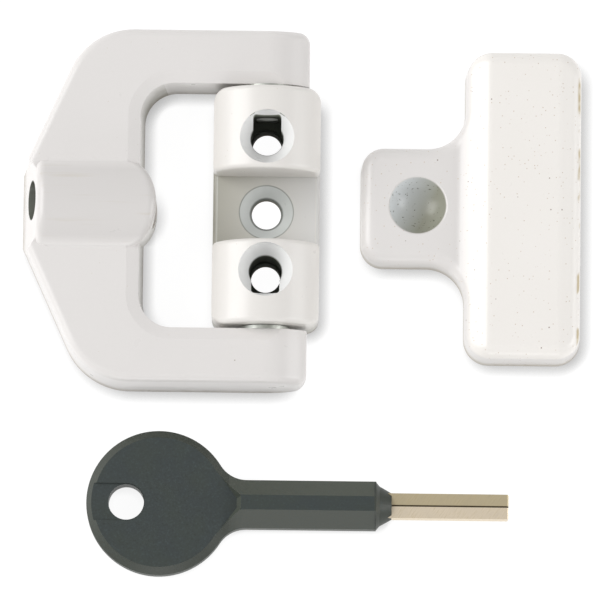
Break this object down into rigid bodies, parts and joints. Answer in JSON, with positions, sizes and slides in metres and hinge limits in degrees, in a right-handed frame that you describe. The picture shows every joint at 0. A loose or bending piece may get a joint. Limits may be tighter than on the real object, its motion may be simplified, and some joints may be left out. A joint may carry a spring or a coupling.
{
  "type": "window swing lock",
  "caption": "Key-operated swing lock for a sash window: a hinge block with a D-shaped swing arm that holds a screw-driven bolt, a T-shaped keep with a cup, and a key.",
  "frame": {"origin": "centre of the hinge block's mounting face, under the hinge axis", "axes": "+Z away from the window frame, +Y along the hinge axis, +X from the swing arm towards the keep"},
  "size_m": [0.0837, 0.0819, 0.013],
  "materials": {
    "block_enamel": "gloss",
    "arm_enamel": "gloss",
    "keep_enamel": "gloss",
    "pin_steel": "satin",
    "bush_steel": "satin",
    "spindle_brass": "satin",
    "spring_steel": "satin",
    "bolt_steel": "satin",
    "bush_brass": "satin",
    "plate_steel": "satin",
    "key_plastic": "matte",
    "key_steel": "satin"
  },
  "bodies": {
    "block": {"hinge_block": "block_enamel", "hinge_pin_upper": "pin_steel", "hinge_pin_lower": "pin_steel"},
    "arm": {"swing_arm": "arm_enamel", "hinge_bush_upper": "bush_steel", "hinge_bush_lower": "bush_steel", "spindle_circlip": "spring_steel", "bolt_guide_pin": "pin_steel", "nose_bush": "bush_brass"},
    "spindle": {"lock_spindle": "spindle_brass"},
    "bolt": {"lock_bolt": "bolt_steel"},
    "keep": {"keep_cover": "keep_enamel", "keep_base_plate": "plate_steel"},
    "key": {"key_handle": "key_plastic", "key_bit": "key_steel"}
  },
  "joints": [
    {"name": "arm_swing", "type": "hinge", "parent": "block", "child": "arm", "pos_m": [0, 0, 0.0064], "axis": [0, 1, 0], "range_deg": [0, 155]},
    {"name": "spindle_turn", "type": "hinge", "parent": "arm", "child": "spindle", "pos_m": [-0.03, 0.0008, 0.007], "axis": [1, 0, 0], "range_deg": [0, 360]},
    {"name": "bolt_slide", "type": "slide", "parent": "arm", "child": "bolt", "axis": [1, 0, 0], "range_m": [0, 0.005]},
    {"name": "keep_lift", "type": "slide", "parent": "block", "child": "keep", "axis": [0, 0, 1], "range_m": [0, 0.05]},
    {"name": "key_lift", "type": "slide", "parent": "block", "child": "key", "axis": [0, 0, 1], "range_m": [0, 0.05]}
  ],
  "couplings": [
    {"joint": "spindle_turn", "follows": "bolt_slide", "rad_per_m": 1256.6}
  ]
}
